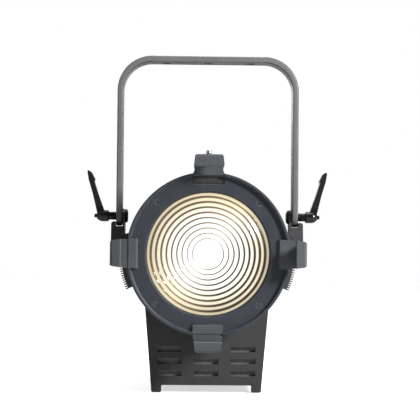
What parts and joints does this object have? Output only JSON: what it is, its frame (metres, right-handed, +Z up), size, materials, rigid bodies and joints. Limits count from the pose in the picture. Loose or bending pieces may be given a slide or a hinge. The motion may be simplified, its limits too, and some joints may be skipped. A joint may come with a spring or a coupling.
{
  "type": "fresnel spotlight",
  "caption": "Round LED fresnel spotlight on a tilting yoke, with clamp levers, accessory clips, a slotted lower housing and a motorised zoom.",
  "frame": {"origin": "centre of the bounding box on the floor that the four foot tabs stand on", "axes": "+X to the right seen from the front, the lens faces -Y, +Z up along the yoke"},
  "size_m": [0.3108, 0.3, 0.431],
  "materials": {
    "ring_coat": "fine textured powder coat",
    "body_coat": "black powder coat",
    "sheet_coat": "black powder-coated sheet steel",
    "clip_coat": "moulded, fine grain",
    "yoke_coat": "satin black paint on steel bar",
    "lever_plastic": "glass-filled nylon",
    "black_steel": "black oxide",
    "bright_steel": "zinc plated",
    "spring_steel": "drawn wire",
    "lens_glass": "pressed borosilicate, stepped",
    "seal_rubber": "silicone",
    "bare_aluminium": "milled and extruded",
    "mirror_aluminium": "bright anodised",
    "brass": "turned",
    "board_green": "solder mask",
    "board_white": "ceramic-filled board",
    "phosphor": "phosphor under silicone",
    "fan_plastic": "moulded",
    "socket_plastic": "moulded",
    "inlet_blue": "moulded",
    "outlet_grey": "moulded",
    "display_glass": "polished window",
    "button_grey": "silicone-coated cap",
    "motor_coat": "baked enamel",
    "case_zinc": "plated case around mixed parts",
    "grille_grey": "dark grey painted sheet"
  },
  "bodies": {
    "head": {"front_ring": "ring_coat", "fresnel_lens": "lens_glass", "lens_gasket": "seal_rubber", "lens_retainer": "body_coat", "ring_screws": "ring_coat", "accessory_clip_left": "clip_coat", "accessory_clip_right": "clip_coat", "accessory_clip_bottom": "clip_coat", "latch_screw": "bright_steel", "clip_screws": "black_steel", "barrel": "body_coat", "side_cover_left": "body_coat", "side_cover_right": "body_coat", "tilt_bracket_left": "body_coat", "tilt_bracket_right": "body_coat", "pivot_bolts": "black_steel", "bracket_screws": "black_steel", "friction_washers": "fan_plastic", "front_bulkhead": "sheet_coat", "rear_bulkhead": "sheet_coat", "guide_rods": "bright_steel", "zoom_motor": "motor_coat", "front_panel": "sheet_coat", "inner_grille": "grille_grey", "lower_housing": "sheet_coat", "power_supply": "case_zinc", "control_board": "board_green", "rear_panel": "sheet_coat", "fan_frame": "fan_plastic", "fan_guard": "black_steel", "display_window": "display_glass", "power_inlet": "inlet_blue", "power_outlet": "outlet_grey", "signal_input": "socket_plastic", "signal_output": "socket_plastic", "fuse_holder": "socket_plastic", "safety_eye": "bright_steel", "panel_screws": "black_steel", "latch_spring": "spring_steel"},
    "yoke": {"yoke": "yoke_coat"},
    "insert_left": {"lever_insert_left": "black_steel", "lever_screw_left": "black_steel"},
    "insert_right": {"lever_insert_right": "black_steel", "lever_screw_right": "black_steel"},
    "lever_left": {"clamp_lever_left": "lever_plastic"},
    "lever_right": {"clamp_lever_right": "lever_plastic"},
    "carriage": {"zoom_carriage": "bare_aluminium", "led_board": "board_white", "led_emitter": "phosphor", "reflector": "mirror_aluminium", "heat_sink": "bare_aluminium", "guide_bushings": "brass", "screw_nut": "brass"},
    "screw": {"lead_screw": "bright_steel"},
    "rotor": {"fan_rotor": "fan_plastic"},
    "latch": {"top_latch": "clip_coat"},
    "button_1": {"menu_button_1": "button_grey"},
    "button_2": {"menu_button_2": "button_grey"},
    "button_3": {"menu_button_3": "button_grey"},
    "button_4": {"menu_button_4": "button_grey"}
  },
  "joints": [
    {"name": "yoke_tilt", "type": "hinge", "parent": "head", "child": "yoke", "pos_m": [0, -0.033, 0.2235], "axis": [1, 0, 0], "range_deg": [-90, 90]},
    {"name": "zoom_slide", "type": "slide", "parent": "head", "child": "carriage", "axis": [0, 1, 0], "range_m": [-0.035, 0.035]},
    {"name": "screw_spin", "type": "hinge", "parent": "head", "child": "screw", "pos_m": [0, 0, 0.105], "axis": [0, 1, 0], "range_deg": [-1576, 1576]},
    {"name": "fan_spin", "type": "hinge", "parent": "head", "child": "rotor", "pos_m": [0, 0.12, 0.175], "axis": [0, 1, 0], "continuous": true},
    {"name": "latch_lift", "type": "slide", "parent": "head", "child": "latch", "axis": [0, 0, 1], "range_m": [0, 0.01], "stiffness_N_per_m": 400, "springref_m": -0.004, "deforming": ["latch_spring"]},
    {"name": "clamp_turn_left", "type": "hinge", "parent": "head", "child": "insert_left", "pos_m": [-0.123, -0.033, 0.2235], "axis": [-1, 0, 0], "range_deg": [0, 110]},
    {"name": "lever_pull_left", "type": "slide", "parent": "insert_left", "child": "lever_left", "axis": [-1, 0, 0], "range_m": [0, 0.004], "stiffness_N_per_m": 500, "springref_m": -0.002},
    {"name": "clamp_turn_right", "type": "hinge", "parent": "head", "child": "insert_right", "pos_m": [0.123, -0.033, 0.2235], "axis": [1, 0, 0], "range_deg": [0, 110]},
    {"name": "lever_pull_right", "type": "slide", "parent": "insert_right", "child": "lever_right", "axis": [1, 0, 0], "range_m": [0, 0.004], "stiffness_N_per_m": 500, "springref_m": -0.002},
    {"name": "button_press_1", "type": "slide", "parent": "head", "child": "button_1", "axis": [0, -1, 0], "range_m": [0, 0.0015], "stiffness_N_per_m": 600, "springref_m": -0.001},
    {"name": "button_press_2", "type": "slide", "parent": "head", "child": "button_2", "axis": [0, -1, 0], "range_m": [0, 0.0015], "stiffness_N_per_m": 600, "springref_m": -0.001},
    {"name": "button_press_3", "type": "slide", "parent": "head", "child": "button_3", "axis": [0, -1, 0], "range_m": [0, 0.0015], "stiffness_N_per_m": 600, "springref_m": -0.001},
    {"name": "button_press_4", "type": "slide", "parent": "head", "child": "button_4", "axis": [0, -1, 0], "range_m": [0, 0.0015], "stiffness_N_per_m": 600, "springref_m": -0.001}
  ],
  "couplings": [
    {"joint": "screw_spin", "follows": "zoom_slide", "rad_per_m": -785.4}
  ]
}
